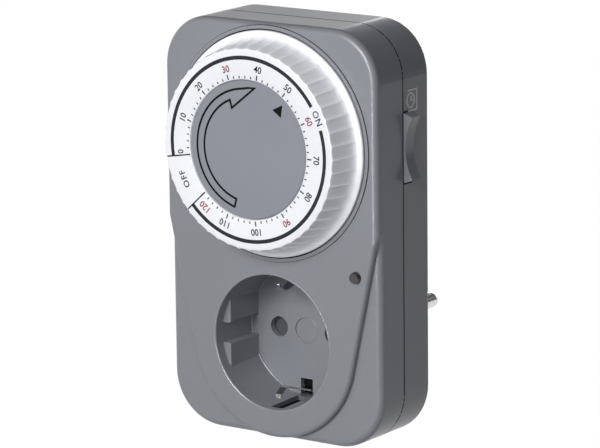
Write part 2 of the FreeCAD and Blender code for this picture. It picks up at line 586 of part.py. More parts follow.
def shutter_set():
    plate = block(-SHUTTER_HALF_WIDTH, SHUTTER_HALF_WIDTH, *SHUTTER_LEVEL, -SHUTTER_HALF_HEIGHT, SHUTTER_HALF_HEIGHT)
    save("child_shutter", plate)
    save("shutter_frame", shutter_frame())
    bottom = spring_bottom()
    middle = at(SHUTTER_LEVEL[0] + SPRING_RADIUS + SPRING_WIRE)
    height = -SHUTTER_HALF_HEIGHT - bottom - 0.1
    coil, core = [Part.makeCylinder(radius, height, Vec(0, middle, bottom + 0.05), Vec(0, 0, 1))
                  for radius in (SPRING_RADIUS + SPRING_WIRE, SPRING_RADIUS - SPRING_WIRE)]
    save("shutter_spring", coil.cut(core))


def live_strip(x0, x1, first, top):
    """A flat strip that rises behind the cup, turns forward above it and climbs into the switch block."""
    back = BACK - WALL - 0.2
    return fused(block(x0, x1, back - STRIP, back, first, RISER_HEIGHT + STRIP),
                 block(x0, x1, RISER_DEPTH, back, RISER_HEIGHT, RISER_HEIGHT + STRIP),
                 block(x0, x1, RISER_DEPTH, RISER_DEPTH + STRIP, RISER_HEIGHT, top))


def contacts():
    """Sleeves for a plug's pins, the block that holds them and the strips that lead to the switch."""
    start, end = SLEEVE_LEVEL
    outer = SLEEVE_BORE + SLEEVE_METAL
    carrier = rod(0, 0, PLUG_RADIUS - PLUG_WALL - 0.2, start, end - STRIP)
    tools = [rod(side * PIN_X, 0, outer + SEAT_GAP, 0, FACE) for side in (-1, 1)]
    tools += earth_slots(0, FACE, CLIP_WIDTH / 2 + 0.3, CLIP_INNER - 0.4, PLUG_RADIUS)
    tools.append(block(PIN_X - 2.4, PIN_X + 2.5, 0, FACE, 0, PLUG_RADIUS))
    save("contact_carrier", without(carrier, *tools))
    slit = block(-0.3, 0.3, start - 1, end - 4, 0, 5)
    sleeves = []
    for side in (-1, 1):
        sleeve = tube(side * PIN_X, 0, SLEEVE_BORE, outer, start, end)
        sleeves.append(sleeve.cut(slit.translated(Vec(side * PIN_X, 0, -4 if side > 0 else 0))))
    tail = block(-PIN_X - 2, -PIN_X + 2, end - 0.5, PIN_HEAD_LEVEL[0] - 0.02, outer - STRIP, outer)
    save("neutral_sleeve", fused(sleeves[0], tail))
    out_x, in_x = (PIN_X - 2.1, PIN_X - 0.4), (PIN_X + 0.4, PIN_X + 2.2)
    save("live_sleeve", fused(sleeves[1], live_strip(*out_x, outer - 0.5, FIXED_LEAF - 0.02)))
    inlet_height = 10.4
    inlet = fused(block(*in_x, PIN_HEAD_LEVEL[0] - STRIP, PIN_HEAD_LEVEL[0] - 0.02, -2, inlet_height + STRIP),
                  block(*in_x, BACK - WALL - 0.2 - STRIP, PIN_HEAD_LEVEL[0] - 0.02, inlet_height, inlet_height + STRIP),
                  live_strip(*in_x, inlet_height, MOVING_LEAF - 0.02))
    save("live_inlet_strip", inlet)
    for pin, name in zip(plug_pins(), ("neutral_pin", "live_pin")):
        save(name, pin)
    switch_contacts(out_x, in_x)


def switch_contacts(out_x, in_x):
    """The dial's switch: a block on the gear plate with a fixed leaf and a moving leaf below the cam."""
    tip, nose = -6.0, 0.8
    middle = at(sum(LEAF_LEVEL) / 2)
    fixed = block(tip, out_x[1] + 0.2, *LEAF_LEVEL, FIXED_LEAF, FIXED_LEAF + LEAF)
    moving = block(tip, in_x[1] + 0.2, *LEAF_LEVEL, MOVING_LEAF, MOVING_LEAF + LEAF)
    follower = block(-nose, nose, CAM_LEVEL[0] + 0.2, LEAF_LEVEL[1], MOVING_LEAF, CAM_FOOT)
    low = Part.makeCylinder(1.0, 0.7, Vec(tip + 2, middle, FIXED_LEAF + LEAF - 0.1), Vec(0, 0, 1))
    high = Part.makeCylinder(1.0, 0.7, Vec(tip + 2, middle, MOVING_LEAF + 0.1), Vec(0, 0, -1))
    save("fixed_contact_leaf", fused(fixed, low))
    save("moving_contact_leaf", fused(moving, follower, high))
    left = nose + 5.7
    body = block(left, 20.0, LEAF_LEVEL[0] - 0.6, PLATE_LEVEL[0], BLOCK_BOTTOM, MOVING_LEAF + 2.1)
    gap = SEAT_GAP
    slots = [block(left - 1, x + 0.2 + gap, LEAF_LEVEL[0] - gap, LEAF_LEVEL[1] + gap, z - gap, z + LEAF + gap)
             for x, z in ((out_x[1], FIXED_LEAF), (in_x[1], MOVING_LEAF))]
    slots += [block(x[0] - gap, x[1] + gap, RISER_DEPTH - gap, RISER_DEPTH + STRIP + gap, BLOCK_BOTTOM - 1, top)
              for x, top in ((out_x, FIXED_LEAF), (in_x, MOVING_LEAF))]
    save("switch_block", without(body, *slots))


def mode_switch():
    """The rocker's own contact: a block on the back of the gear plate with an upright leaf by the rocker's arm."""
    arm_tip = HALF_WIDTH - ROCKER_PIVOT - 5.0
    leaf_x = arm_tip - 0.5 - LEAF
    low = ROCKER_HEIGHT - 18.0
    body = block(20.0, leaf_x + 1.4, PLATE_LEVEL[1], PLATE_LEVEL[1] + 5.6, low, low + 6.0)
    leaf = block(leaf_x, leaf_x + LEAF, PLATE_LEVEL[1] + 1.2, PLATE_LEVEL[1] + 4.4, low + 1.0, ROCKER_HEIGHT + 5.0)
    gap = SEAT_GAP
    slot = block(leaf_x - gap, leaf_x + LEAF + gap, PLATE_LEVEL[1] + 1.2 - gap, PLATE_LEVEL[1] + 4.4 + gap,
                 low + 1.0 - gap, low + 10)
    save("mode_contact_block", body.cut(slot))
    save("mode_contact_leaf", leaf)


def earth_path():
    """Bent clips in the cup, and the bar behind them that reaches the two contacts on the plug's rim."""
    half, tip = CLIP_WIDTH / 2, CLIP_TIP_WIDTH / 2
    metal = CLIP_METAL
    bend = CUP_DEPTH + CUP_FLOOR + 1.0
    path = [(EARTH_BAR - 0.02, CLIP_INNER), (bend + 3.5, CLIP_INNER), (bend, CLIP_ROOT), (CUP_DEPTH, CLIP_ROOT),
            (CLIP_CREST_DEPTH + 0.8, CLIP_CREST), (CLIP_CREST_DEPTH - 0.6, CLIP_CREST + 0.15),
            (CLIP_TIP_DEPTH + 0.8, CLIP_TIP - 0.9), (CLIP_TIP_DEPTH, CLIP_TIP)]
    outer = [(d, z + metal) for d, z in path[:-2]]
    outer += [(CLIP_TIP_DEPTH + 0.8 + metal, CLIP_TIP - 0.9 + metal / 2), (CLIP_TIP_DEPTH + metal, CLIP_TIP + 0.15)]
    corners = [Vec(-half, at(d), z) for d, z in path + outer[::-1]]
    clip = Part.Face(Part.makePolygon(corners + corners[:1])).extrude(Vec(CLIP_WIDTH, 0, 0))
    sides = [Vec(half, at(FACE), 0), Vec(half, at(CUP_DEPTH - 2), 0), Vec(tip, at(CLIP_CREST_DEPTH), 0),
             Vec(tip, at(CLIP_TIP_DEPTH + tip), 0)]
    others = [Vec(-v.x, v.y, 0) for v in reversed(sides)]
    nose = Part.Arc(sides[-1], Vec(0, at(CLIP_TIP_DEPTH), 0), others[0]).toShape()
    lines = [Part.LineSegment(a, b).toShape() for a, b in zip(sides, sides[1:])]
    lines += [nose] + [Part.LineSegment(a, b).toShape() for a, b in zip(others, others[1:] + sides[:1])]
    clip = clip.common(Part.Face(Part.Wire(lines)).extrude(Vec(0, 0, CUP_RADIUS)))
    save("earth_clip_top", clip)
    save("earth_clip_bottom", clip.mirror(Vec(0, 0, 0), Vec(0, 0, 1)))
    rim = PLUG_RADIUS - 0.88
    bar = block(-half, half, EARTH_BAR, EARTH_BAR + metal, -rim, rim)
    pads = earth_slots(EARTH_BAR, FACE - 0.4, half, rim - metal, rim)
    save("earth_bar", fused(bar, *pads))


def indicator():
    lens = rod(*LAMP, LAMP_RADIUS, -0.2, 6.0)
    dome = Part.makeSphere(LAMP_RADIUS, Vec(LAMP[0], at(-0.2), LAMP[1]))
    dome = dome.common(rod(*LAMP, LAMP_RADIUS, -LAMP_RISE, 0))
    save("indicator_lens", fused(lens, dome))
    glass = rod(*LAMP, LAMP_RADIUS - 0.2, 6.02, 13.0)
    save("indicator_lamp", glass)


def housing_screws():
    screws = []
    seat = BACK - SCREW_HEAD_HEIGHT - 0.6
    for x, z in SCREWS:
        shank = rod(x, z, SCREW_RADIUS, 5.0, seat)
        head = rod(x, z, SCREW_HEAD, seat, seat + SCREW_HEAD_HEIGHT)
        cross = fused(block(x - 1.5, x + 1.5, seat + 0.8, BACK, z - 0.3, z + 0.3),
                      block(x - 0.3, x + 0.3, seat + 0.8, BACK, z - 1.5, z + 1.5))
        screws.append(fused(shank, head).cut(cross))
    save("housing_screws", Part.makeCompound(screws))


def main():
    save("front_housing", front_housing())
    save("socket_cup", socket_cup())
    save("rear_housing", rear_housing())
    save("plug_body", plug_body())
    dial_train()
    movement()
    rocker()
    shutter_set()
    contacts()
    mode_switch()
    earth_path()
    indicator()
    housing_screws()
    os.makedirs("parts", exist_ok=True)
    for name, shape in PARTS.items():
        shape.exportStep("parts/" + name + ".step")
        print(name, len(shape.Solids), round(shape.Volume, 2), shape.isValid())


main()
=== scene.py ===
# %% [markdown]
# # A plug-in mains timer
# The object is a grey moulded housing with an earthed socket below and a white minute dial above.
# Its shells, socket cup, gears and contacts arrive as finished solids. This notebook gives each of
# them its plastic or metal, and adds the fine work on top: the fluted knob, the printing on the
# dial, the small symbol on the side, and the thin lines and beads along the edges.

# %% Load the solids and note their box
import json
import math

import bpy
import numpy as np
from mathutils import Matrix, Vector


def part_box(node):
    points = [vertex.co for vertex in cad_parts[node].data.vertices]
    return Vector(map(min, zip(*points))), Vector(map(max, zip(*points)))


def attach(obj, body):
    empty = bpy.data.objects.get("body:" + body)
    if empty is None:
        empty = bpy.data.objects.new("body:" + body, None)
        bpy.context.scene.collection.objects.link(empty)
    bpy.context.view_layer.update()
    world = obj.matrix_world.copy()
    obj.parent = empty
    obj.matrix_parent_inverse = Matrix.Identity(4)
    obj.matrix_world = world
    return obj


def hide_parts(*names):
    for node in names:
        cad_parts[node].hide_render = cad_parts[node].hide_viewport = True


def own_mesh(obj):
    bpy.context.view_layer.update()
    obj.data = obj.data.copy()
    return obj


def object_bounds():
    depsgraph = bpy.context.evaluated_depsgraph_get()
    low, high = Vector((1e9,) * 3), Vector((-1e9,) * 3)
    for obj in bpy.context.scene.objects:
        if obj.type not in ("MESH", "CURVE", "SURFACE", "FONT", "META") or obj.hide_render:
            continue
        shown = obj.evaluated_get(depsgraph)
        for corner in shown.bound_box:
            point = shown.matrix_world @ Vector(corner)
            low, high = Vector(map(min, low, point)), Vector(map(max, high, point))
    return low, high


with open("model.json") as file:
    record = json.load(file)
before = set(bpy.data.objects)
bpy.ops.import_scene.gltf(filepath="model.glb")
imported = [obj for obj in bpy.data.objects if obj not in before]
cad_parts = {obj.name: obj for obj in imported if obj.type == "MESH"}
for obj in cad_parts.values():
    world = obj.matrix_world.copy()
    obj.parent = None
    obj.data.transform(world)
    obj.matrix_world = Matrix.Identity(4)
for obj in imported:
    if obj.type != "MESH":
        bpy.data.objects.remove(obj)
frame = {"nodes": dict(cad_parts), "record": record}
SOLID_BOX = [list(corner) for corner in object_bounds()]
MM = 0.001
print("solid pieces:", len(frame["nodes"]), "box in mm:", np.round(np.array(SOLID_BOX) / MM, 1).tolist())

# %% [markdown]
# What follows is placed from the solids themselves. The dial's axis is the middle of the knob's box
# and its face is the box's front. The housing's front face lies behind that by as much as the dial
# stands proud, and the side wall comes from the rear shell. The socket's axis runs through the
# frame's origin. Lengths on the object and to the camera are in millimetres and become metres, times
# MM, at the last step. The floor, the cards and the sizes and distances of the lamps are in metres.

# %% Places on the object, in millimetres
def box_mm(node):
    """Low and high corner of a solid's box, in millimetres."""
    low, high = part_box(node)
    return np.array(low) / MM, np.array(high) / MM


knob_low, knob_high = box_mm("dial_ring")
cap_low, cap_high = box_mm("dial_centre_cap")
rear_low, rear_high = box_mm("rear_housing")
DIAL_X, DIAL_Z = (knob_low[0] + knob_high[0]) / 2, (knob_low[2] + knob_high[2]) / 2
KNOB_SUNK, DIAL_PROUD = 1.5, 10.5
DIAL_FACE_Y, KNOB_BACK_Y = knob_low[1], box_mm("front_housing")[0][1] + KNOB_SUNK
CAP_FACE_Y, CAP_RADIUS = cap_low[1], (cap_high[0] - cap_low[0]) / 2
SIDE_X = (rear_high[0] - rear_low[0]) / 2
FLANGE_RADIUS = (knob_high[0] - knob_low[0]) / 2
FRONT_Y = DIAL_FACE_Y + DIAL_PROUD
print("dial axis", np.round([DIAL_X, DIAL_Z], 2), "face and front", np.round([DIAL_FACE_Y, FRONT_Y], 2))

# %% [markdown]
# ## The camera
# A long lens from the right and a little above keeps the sides nearly parallel. The camera is an
# orthonormal frame: a back vector from azimuth and elevation, a level right vector, and a small roll.

# %% Camera
CAMERA = {"azimuth": 34.94, "elevation": 12.27, "roll": -0.65, "distance": 1076.6, "lens": 228.48}
TARGET = Vector((10.43, FRONT_Y, 36.03))


def camera_axes(azimuth, elevation, roll):
    """Right, up and back: back points to the camera, and roll turns a level right and its up about it."""
    a, e, r = (math.radians(v) for v in (azimuth, elevation, roll))
    back = Vector((math.sin(a) * math.cos(e), -math.cos(a) * math.cos(e), math.sin(e)))
    level = Vector((math.cos(a), math.sin(a), 0.0))
    upright = back.cross(level)
    right = level * math.cos(r) + upright * math.sin(r)
    return right, back.cross(right), back


right, up, back = camera_axes(CAMERA["azimuth"], CAMERA["elevation"], CAMERA["roll"])
camera = bpy.data.objects.new("camera", bpy.data.cameras.new("camera"))
bpy.context.scene.collection.objects.link(camera)
turn = Matrix((right, up, back)).transposed().to_4x4()
camera.matrix_world = Matrix.Translation((TARGET + back * CAMERA["distance"]) * MM) @ turn
camera.data.sensor_width, camera.data.lens = 36.0, CAMERA["lens"]
camera.data.clip_start, camera.data.clip_end = 0.05, 20.0
bpy.context.scene.camera = camera
bpy.context.scene.view_settings.view_transform = "Standard"
print("camera at", [round(v, 3) for v in camera.location])

# %% [markdown]
# ## Node helpers
# A material is a small graph. These helpers add a node, wire a value or a socket into an input, and
# build a node group with named sockets, so that one effect can be shared by many materials.

# %% Node helpers
def add(tree, kind, inputs=(), **settings):
    """Adds a node, sets its properties, and fills or links its inputs by name or number."""
    node = tree.nodes.new(kind)
    for key, value in settings.items():
        setattr(node, key, value)
    for key, value in dict(inputs).items():
        if isinstance(value, bpy.types.NodeSocket):
            tree.links.new(value, node.inputs[key])
        else:
            node.inputs[key].default_value = value
    return node


def new_group(name, inputs, outputs):
    """An empty node group: inputs are (name, socket type, default), outputs are (name, socket type)."""
    tree = bpy.data.node_groups.new(name, "ShaderNodeTree")
    for label, kind, default in inputs:
        tree.interface.new_socket(label, in_out="INPUT", socket_type=kind).default_value = default
    for label, kind in outputs:
        tree.interface.new_socket(label, in_out="OUTPUT", socket_type=kind)
    return tree, tree.nodes.new("NodeGroupInput"), tree.nodes.new("NodeGroupOutput")


def maths(tree, operation, a, b=0.5):
    """Output of a math node on two numbers or sockets."""
    return add(tree, "ShaderNodeMath", {0: a, 1: b}, operation=operation).outputs[0]


# %% [markdown]
# ## Moulded grain
# Spark-eroded tools leave plastic with a fine even grain of about a third of a millimetre, and a
# moulding cools a little unevenly, so its gloss drifts over centimetres. One group makes both: a
# fine height for a Bump node, a tone that lightens and darkens the colour, and a gloss drift.

# %% Group: moulded grain
FLOAT, COLOR = "NodeSocketFloat", "NodeSocketColor"


def grain_group():
    """Speckle and drift in the tone, drift in the roughness, and the fine grain as height."""
    tree, given, out = new_group(
        "moulded grain",
        [("Color", COLOR, (0.5, 0.5, 0.5, 1)), ("Grain per metre", FLOAT, 2600.0),
         ("Speckle", FLOAT, 0.06), ("Roughness", FLOAT, 0.5)],
        [("Color", COLOR), ("Roughness", FLOAT), ("Height", FLOAT)])
    place = add(tree, "ShaderNodeTexCoord").outputs["Object"]
    grain = {"Vector": place, "Scale": given.outputs["Grain per metre"], "Detail": 2.0, "Roughness": 0.6}
    fine = add(tree, "ShaderNodeTexNoise", grain)
    broad = add(tree, "ShaderNodeTexNoise", {"Vector": place, "Scale": 60.0, "Detail": 2.0})
    centred = maths(tree, "SUBTRACT", fine.outputs["Fac"], 0.5)
    drift = maths(tree, "MULTIPLY", maths(tree, "SUBTRACT", broad.outputs["Fac"], 0.5), 0.06)
    speckle = maths(tree, "MULTIPLY", centred, maths(tree, "MULTIPLY", given.outputs["Speckle"], 2.0))
    value = maths(tree, "ADD", maths(tree, "ADD", speckle, drift), 1.0)
    toned = add(tree, "ShaderNodeHueSaturation", {"Value": value, "Color": given.outputs["Color"]})
    rough = maths(tree, "ADD", given.outputs["Roughness"], maths(tree, "MULTIPLY", drift, 1.5))
    tree.links.new(toned.outputs["Color"], out.inputs["Color"])
    tree.links.new(rough, out.inputs["Roughness"])
    tree.links.new(fine.outputs["Fac"], out.inputs["Height"])
    return tree


GRAIN = grain_group()

# %% [markdown]
# ## Drawn and stamped metal
# Sheet metal carries faint lines along the direction it was drawn, and plated parts show soft
# clouds. The group stretches a noise along one axis for the lines and mixes in the clouds.

# %% Group: worked metal
def metal_group():
    """Lines and clouds in the tone and the roughness, and the lines alone as height."""
    tree, given, out = new_group(
        "worked metal",
        [("Color", COLOR, (0.6, 0.6, 0.6, 1)), ("Lines", FLOAT, 0.15), ("Roughness", FLOAT, 0.25)],
        [("Color", COLOR), ("Roughness", FLOAT), ("Height", FLOAT)])
    place = add(tree, "ShaderNodeTexCoord").outputs["Object"]
    drawn = add(tree, "ShaderNodeMapping", {"Vector": place, "Scale": (9000.0, 400.0, 9000.0)})
    lines = add(tree, "ShaderNodeTexNoise", {"Vector": drawn.outputs[0], "Scale": 1.0, "Detail": 3.0})
    clouds = add(tree, "ShaderNodeTexNoise", {"Vector": place, "Scale": 500.0, "Detail": 2.0})
    mixed = maths(tree, "ADD", maths(tree, "MULTIPLY", lines.outputs["Fac"], 0.7),
                  maths(tree, "MULTIPLY", clouds.outputs["Fac"], 0.3))
    swing = maths(tree, "MULTIPLY", maths(tree, "SUBTRACT", mixed, 0.5), given.outputs["Lines"])
    toned = add(tree, "ShaderNodeHueSaturation",
                {"Value": maths(tree, "ADD", swing, 1.0), "Color": given.outputs["Color"]})
    tree.links.new(toned.outputs["Color"], out.inputs["Color"])
    tree.links.new(maths(tree, "ADD", given.outputs["Roughness"], swing), out.inputs["Roughness"])
    tree.links.new(lines.outputs["Fac"], out.inputs["Height"])
    return tree


METAL = metal_group()

# %% [markdown]
# ## The finishes
# Every finish is the same short recipe: one of the two groups feeds colour, roughness and a bump,
# and the shader keeps its own plain numbers for metallic, coat and glow. The white plastic glows a
# little in place of the light that real thin white plastic lets through.

# %% Recipe of a finish
def finish_of(name, group, texture, color, amount, roughness, strength, height, shader):
    """A Principled material whose colour, roughness and bump (strength, height in mm) come from a group."""
    material = bpy.data.materials.new(name)
    material.use_nodes = True
    tree = material.node_tree
    principled = tree.nodes["Principled BSDF"]
    effect = add(tree, "ShaderNodeGroup", node_tree=group)
    for label, value in {"Color": (*color, 1.0), texture: amount, "Roughness": roughness}.items():
        effect.inputs[label].default_value = value
    relief = {"Height": effect.outputs["Height"], "Strength": strength, "Distance": height * MM}
    tree.links.new(effect.outputs["Color"], principled.inputs["Base Color"])
    tree.links.new(effect.outputs["Roughness"], principled.inputs["Roughness"])
    tree.links.new(add(tree, "ShaderNodeBump", relief).outputs["Normal"], principled.inputs["Normal"])
    for label, value in shader.items():
        principled.inputs[label].default_value = value
    return material


def linear(red, green, blue):
    """Screen colour, 0 to 255, as the linear value that a shader wants."""
    screen = np.array([red, green, blue]) / 255.0
    value = np.where(screen <= 0.04045, screen / 12.92, ((screen + 0.055) / 1.055) ** 2.4)
    return tuple(float(v) for v in value)


print("grey in linear values:", np.round(linear(136, 138, 145), 3))

# %% Materials
def coat(weight, roughness):
    """Shader values of a clear coat."""
    return {"Coat Weight": weight, "Coat Roughness": roughness}


def glow(strength):
    """Shader values of a weak white glow."""
    return {"Emission Color": (1, 1, 1, 1), "Emission Strength": strength}


GREY, WHITE = linear(136, 138, 145), linear(244, 245, 252)
MATT = {"Specular IOR Level": 0.1}
TRANSLUCENT = {"Subsurface Weight": 0.2, "Subsurface Scale": 0.002, "Subsurface Radius": (1, 1, 1)}
# Each row: colour, speckle or lines, roughness, bump strength, bump height in mm, shader values.
PLASTICS = {
    "housing grey": (GREY, 0.1, 0.44, 0.25, 0.05, {"Specular IOR Level": 0.3, **coat(0.3, 0.13)}),
    "polished grey": (GREY, 0.03, 0.25, 0.02, 0.02, coat(1.0, 0.1)),
    # This white glows: it is the painted highlight on the knob's ridges.
    "ridge highlight white": (linear(250, 250, 253), 0.005, 0.3, 0.03, 0.02, glow(0.16)),
    "cap grey": (linear(139, 142, 151), 0.01, 0.4, 0.05, 0.03, {}),
    "dial white": (WHITE, 0.008, 0.34, 0.06, 0.03, {**TRANSLUCENT, **coat(0.2, 0.2), **glow(0.06)}),
    "gear plastic": (linear(226, 222, 208), 0.02, 0.4, 0.1, 0.03, {}),
    "dark plastic": (linear(72, 74, 79), 0.05, 0.5, 0.2, 0.05, {}),
    "smoked lens": (linear(52, 40, 46), 0.02, 0.1, 0.02, 0.02, coat(0.6, 0.05)),
    # Black ink prints the ticks, numbers and centre marks, and also paints shade in the dial's ring gaps and
    # the clip windows.
    "black ink and painted shade": (linear(6, 6, 8), 0.05, 0.6, 0.05, 0.02, {"Specular IOR Level": 0.08}),
    # Arc ink prints the arc, its end lines and the words, and also paints the shade of the joint line.
    "arc ink and painted shade": (linear(44, 46, 52), 0.05, 0.6, 0.05, 0.02, MATT),
    "red ink": (linear(150, 24, 34), 0.05, 0.6, 0.05, 0.02, MATT),
    "pale ink": (linear(246, 246, 250), 0.02, 0.45, 0.05, 0.02, {}),
    "magnet": (linear(70, 70, 74), 0.08, 0.6, 0.2, 0.05, {}),
}
METALS = {
    "nickel": (linear(214, 213, 210), 0.1, 0.22, 0.05, 0.01, {"Metallic": 1.0}),
    "brass": (linear(212, 178, 104), 0.15, 0.28, 0.08, 0.01, {"Metallic": 1.0}),
    "steel": (linear(176, 178, 182), 0.2, 0.32, 0.1, 0.01, {"Metallic": 1.0}),
    "copper": (linear(190, 112, 70), 0.3, 0.35, 0.4, 0.05, {"Metallic": 0.8}),
}
FINISHES = {name: finish_of(name, GRAIN, "Speckle", *row) for name, row in PLASTICS.items()}
FINISHES |= {name: finish_of(name, METAL, "Lines", *row) for name, row in METALS.items()}
print("finishes:", len(FINISHES))

# %% [markdown]
# ## Dressing the solids
# The solids keep their shapes and only take a finish, chosen by the slot that each one belongs to.
# The shutter's spring gets its own copy of its mesh.

# %% Finish the solids
SLOT_FINISH = {
    "housing_plastic": "housing grey", "dial_plastic": "dial white", "gear_plastic": "gear plastic",
    "rocker_plastic": "housing grey", "shutter_plastic": "dark plastic", "lens_plastic": "smoked lens",
    "lamp_glass": "smoked lens", "nickel": "nickel", "brass": "brass", "steel": "steel",
    "spring_steel": "steel", "copper": "copper", "magnet": "magnet",
}
for part in frame["record"]["subparts"]:
    solid = frame["nodes"][part["node"]]
    solid.data.materials.clear()
    solid.data.materials.append(FINISHES[SLOT_FINISH[part["material_slot"]]])
frame["nodes"]["dial_centre_cap"].data.materials[0] = FINISHES["cap grey"]

# %% Shutter spring
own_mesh(frame["nodes"]["shutter_spring"])

# %% [markdown]
# ## Mesh helpers
# A surface is a grid of points. One helper numbers the quads of a grid, another turns a list of
# closed grids into a mesh and makes its faces point outwards by the sign of its volume.

# %% Mesh helpers
def grid_quads(rows, columns, wrap_rows=False, wrap_columns=False):
    """Quads of a rows by columns grid, counted row by row, closed on itself where a direction wraps."""
    r = np.arange(rows if wrap_rows else rows - 1)
    c = np.arange(columns if wrap_columns else columns - 1)
    r, c = (a.ravel() for a in np.meshgrid(r, c, indexing="ij"))
    r2, c2 = (r + 1) % rows, (c + 1) % columns
    return np.stack([r * columns + c, r * columns + c2, r2 * columns + c2, r2 * columns + c], 1)


def volume_of(points, quads):
    """Signed volume: a sixth of the sum of a . (b x c) over each quad's two triangles."""
    a, b, c, d = (points[quads[:, i]] for i in range(4))
    return (np.einsum("ij,ij->i", a, np.cross(b, c)) + np.einsum("ij,ij->i", a, np.cross(c, d))).sum() / 6


def piece_of(mesh, finish, body):
    """A finished mesh as an object of the same name, riding on a body and carrying its finish."""
    mesh.materials.append(FINISHES[finish])
    piece = bpy.data.objects.new(mesh.name, mesh)
    bpy.context.scene.collection.objects.link(piece)
    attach(piece, body)
    return piece


def make_piece(name, shells, finish, body, smooth=True):
    """One piece from closed shells of (points in mm, quads), with its faces outwards."""
    points, quads, offset = [], [], 0
    for shell_points, shell_quads in shells:
        if volume_of(shell_points, shell_quads) < 0:
            shell_quads = shell_quads[:, ::-1]
        points.append(shell_points)
        quads.append(shell_quads + offset)
        offset += len(shell_points)
    mesh = bpy.data.meshes.new(name)
    mesh.from_pydata((np.concatenate(points) * MM).tolist(), [], np.concatenate(quads).tolist())
    mesh.validate()
    mesh.polygons.foreach_set("use_smooth", [smooth] * len(mesh.polygons))
    return piece_of(mesh, finish, body)


def strip(first, second, depth, place, closed=False):
    """A thin slab between two lines (n by 2), put in space by place(u, v, w); closed, it has no ends."""
    n = len(first)
    edges = np.concatenate([first, second, second, first])
    quads = grid_quads(4, n, True, closed)
    if not closed:
        ends = np.arange(4) * n
        quads = np.concatenate([quads, [ends, (ends + n - 1)[::-1]]])
    return place(edges[:, 0], edges[:, 1], np.repeat([0.0, 0.0, depth, depth], n)), quads


def on_dial_face(y):
    """Flat place on the dial: u to the right and v up from the dial's axis, w towards the viewer."""
    return lambda u, v, w: np.stack([DIAL_X + u, y - w, DIAL_Z + v], 1)


def clock(radius, degrees):
    """Point at an angle counted clockwise from nine o'clock, as (u, v)."""
    turn = np.radians(degrees)
    return np.stack([-radius * np.cos(turn), radius * np.sin(turn)], -1)


# %% [markdown]
# ## The fluted knob
# The white knob is one moulding: a flat face ring, a grip wall with 48 shallow scallops between
# thin ridges, and a round foot flange. It is a surface of revolution whose radius also depends on
# the angle: the profile gives radius and depth, and each profile point says how much of the
# scallop it carries, so the scallops run out softly above the flange. On every ridge lies a thin
# whiter strip that glows a little: a painted highlight for the light that the thin tops of the
# ridges let through.

# %% Profile of the knob
FLUTES, FLUTE_DEPTH, RIDGE_SHARE, PER_FLUTE = 48, 0.3, 0.08, 16
FACE_RADIUS, WELL_RADIUS, RIM_ROUND = 29.1, CAP_RADIUS + 0.2, 0.45
GRIP_SLOPE, GRIP_END = 0.14, 7.6


def crest(depth):
    """Radius of the ridges at a depth behind the face: r = face + slope * depth."""
    return FACE_RADIUS + GRIP_SLOPE * depth


def knob_profile():
    """Rows of (radius, depth behind the face, share of the scallop), closed round the moulding's section."""
    bend = np.linspace(0, math.pi / 2, 5)
    rise, fall = RIM_ROUND * np.sin(bend), RIM_ROUND * np.cos(bend)
    rim = np.stack([FACE_RADIUS - RIM_ROUND + rise, RIM_ROUND - fall, 0.35 + 0.65 * np.sin(bend)], 1)
    wall = np.linspace(RIM_ROUND, GRIP_END, 10)[1:]
    grip = np.stack([crest(wall), wall, np.ones(len(wall))], 1)
    sweep = np.linspace(0, math.pi / 2, 7)[1:]
    foot_radius = grip[-1, 0] + 1.5 * (1 - np.cos(sweep))
    foot = np.stack([foot_radius, GRIP_END + 1.9 * np.sin(sweep), np.cos(sweep)], 1)
    edge = np.stack([FLANGE_RADIUS - 0.4 + 0.4 * np.sin(bend), 9.9 - 0.4 * np.cos(bend), 0 * bend], 1)
    depth = KNOB_BACK_Y - 0.3 - DIAL_FACE_Y
    # From the back of the flange: the hollow inside, the web with its hole, the well and the face.
    closing = [(FLANGE_RADIUS, depth, 0), (FACE_RADIUS - 0.6, depth, 0), (FACE_RADIUS - 2.2, 2.0, 0),
               (WELL_RADIUS + 1.6, 2.0, 0), (WELL_RADIUS + 1.6, 5.5, 0), (8.0, 5.5, 0), (8.0, 3.5, 0),
               (WELL_RADIUS, 3.5, 0), (WELL_RADIUS, 0.2, 0), (WELL_RADIUS + 0.06, 0.06, 0),
               (WELL_RADIUS + 0.2, 0, 0), (FACE_RADIUS - 1.2, 0, 0)]
    return np.concatenate([rim, grip, foot, edge, np.array(closing, float)])


profile = knob_profile()
print("profile rows:", len(profile))

# %% The knob
angles = np.linspace(0, 2 * math.pi, FLUTES * PER_FLUTE, endpoint=False)
across = np.abs(((angles * FLUTES / (2 * math.pi)) % 1.0) * 2 - 1)
scallop = 1 - np.clip(across / (1 - RIDGE_SHARE), 0, 1) ** 4
radius = profile[:, :1] - FLUTE_DEPTH * profile[:, 2:] * scallop[None, :]
level = np.repeat(DIAL_FACE_Y + profile[:, 1:2], len(angles), 1)
knob_points = np.stack([DIAL_X + radius * np.cos(angles), level, DIAL_Z + radius * np.sin(angles)], -1)
knob_shell = (knob_points.reshape(-1, 3), grid_quads(len(profile), len(angles), True, True))
knob = make_piece("knob", [knob_shell], "dial white", "dial")
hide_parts("dial_ring")
print("knob faces:", len(knob.data.polygons))

# %% Painted highlights on the ridges
RIDGE_HALF_WIDTH, RIDGE_THICKNESS, RIDGE_SUNK = 0.13, 0.05, 0.02


def on_ridge(number):
    """Place on a ridge: u is the depth, v runs across, w stands out from the crest."""
    turn = 2 * math.pi * number / FLUTES

    def place(u, v, w):
        reach, angle = crest(u) - RIDGE_SUNK + w, turn + v / FACE_RADIUS
        return np.stack([DIAL_X + reach * np.cos(angle), DIAL_FACE_Y + u, DIAL_Z + reach * np.sin(angle)], 1)
    return place


ridge_depths = np.linspace(0.7, 7.7, 6)
halves = [np.full(len(ridge_depths), side * RIDGE_HALF_WIDTH) for side in (-1, 1)]
ridge_edges = [np.stack([ridge_depths, half], 1) for half in halves]
